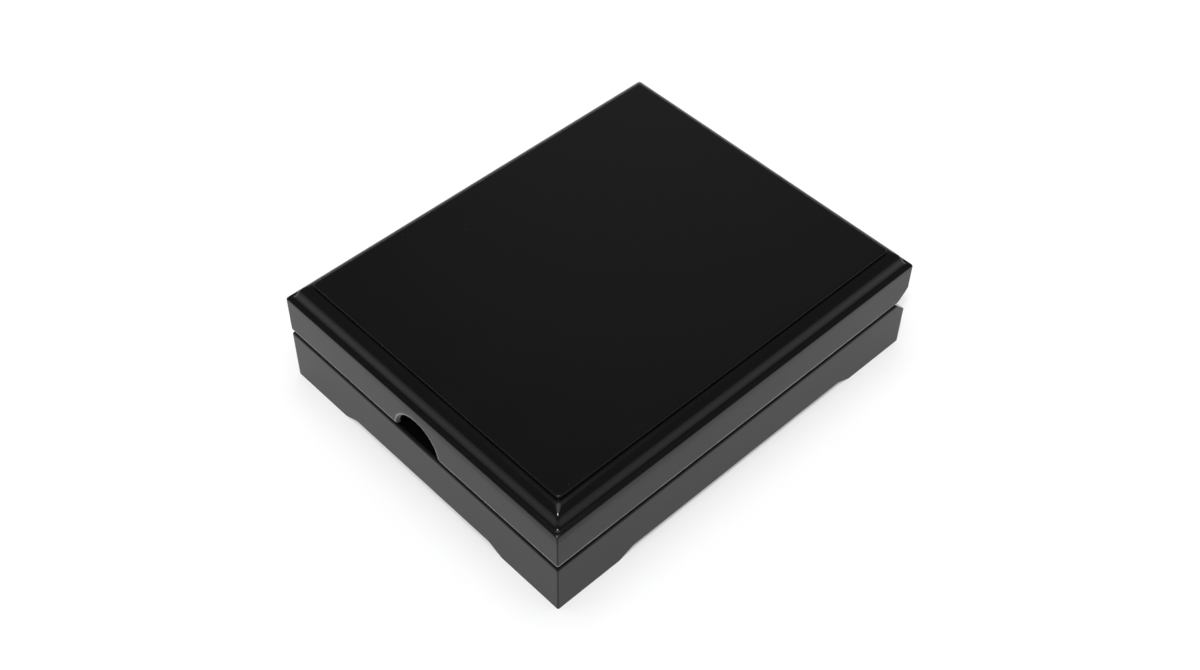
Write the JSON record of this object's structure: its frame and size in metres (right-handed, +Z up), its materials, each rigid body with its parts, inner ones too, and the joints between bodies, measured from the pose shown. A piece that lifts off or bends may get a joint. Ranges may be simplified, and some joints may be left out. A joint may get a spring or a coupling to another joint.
{
  "type": "coin display box",
  "caption": "Flat lacquered wooden box on bracket feet with a moulded lid hinged at the back, a thumb notch in front, and a velvet insert for a flat coin holder.",
  "frame": {"origin": "middle of the box's footprint, on the surface it stands on", "axes": "+Z up, front with the thumb notch towards -Y, hinges towards +Y, +X to the right seen from the front"},
  "size_m": [0.108, 0.134, 0.0368],
  "materials": {
    "black_lacquer": "satin black lacquer over fine board",
    "panel_board": "stained board, matt",
    "underside_felt": "pressed felt",
    "insert_velvet": "short pile velvet",
    "insert_board": "grey board",
    "lining_card": "plain card",
    "lid_satin": "woven satin with a soft sheen",
    "hinge_brass": "polished brass"
  },
  "bodies": {
    "base": {"base_front_rail": "black_lacquer", "base_rear_rail": "black_lacquer", "base_left_rail": "black_lacquer", "base_right_rail": "black_lacquer", "bottom_panel": "panel_board", "underside_felt": "underside_felt", "floor_pad": "insert_velvet", "insert_board": "insert_board", "insert_velvet": "insert_velvet", "hinge_left_base_leaf": "hinge_brass", "hinge_right_base_leaf": "hinge_brass", "hinge_left_pin": "hinge_brass", "hinge_right_pin": "hinge_brass", "hinge_base_screws": "hinge_brass"},
    "lid": {"lid_front_rail": "black_lacquer", "lid_rear_rail": "black_lacquer", "lid_left_rail": "black_lacquer", "lid_right_rail": "black_lacquer", "lid_top_board": "black_lacquer", "lid_side_linings": "lid_satin", "lid_lining_card": "lining_card", "lid_cushion": "lid_satin", "hinge_left_lid_leaf": "hinge_brass", "hinge_right_lid_leaf": "hinge_brass", "hinge_lid_screws": "hinge_brass"}
  },
  "joints": [
    {"name": "lid_hinge", "type": "hinge", "parent": "base", "child": "lid", "pos_m": [0, 0.06244, 0.0176], "axis": [-1, 0, 0], "range_deg": [0, 90]}
  ]
}
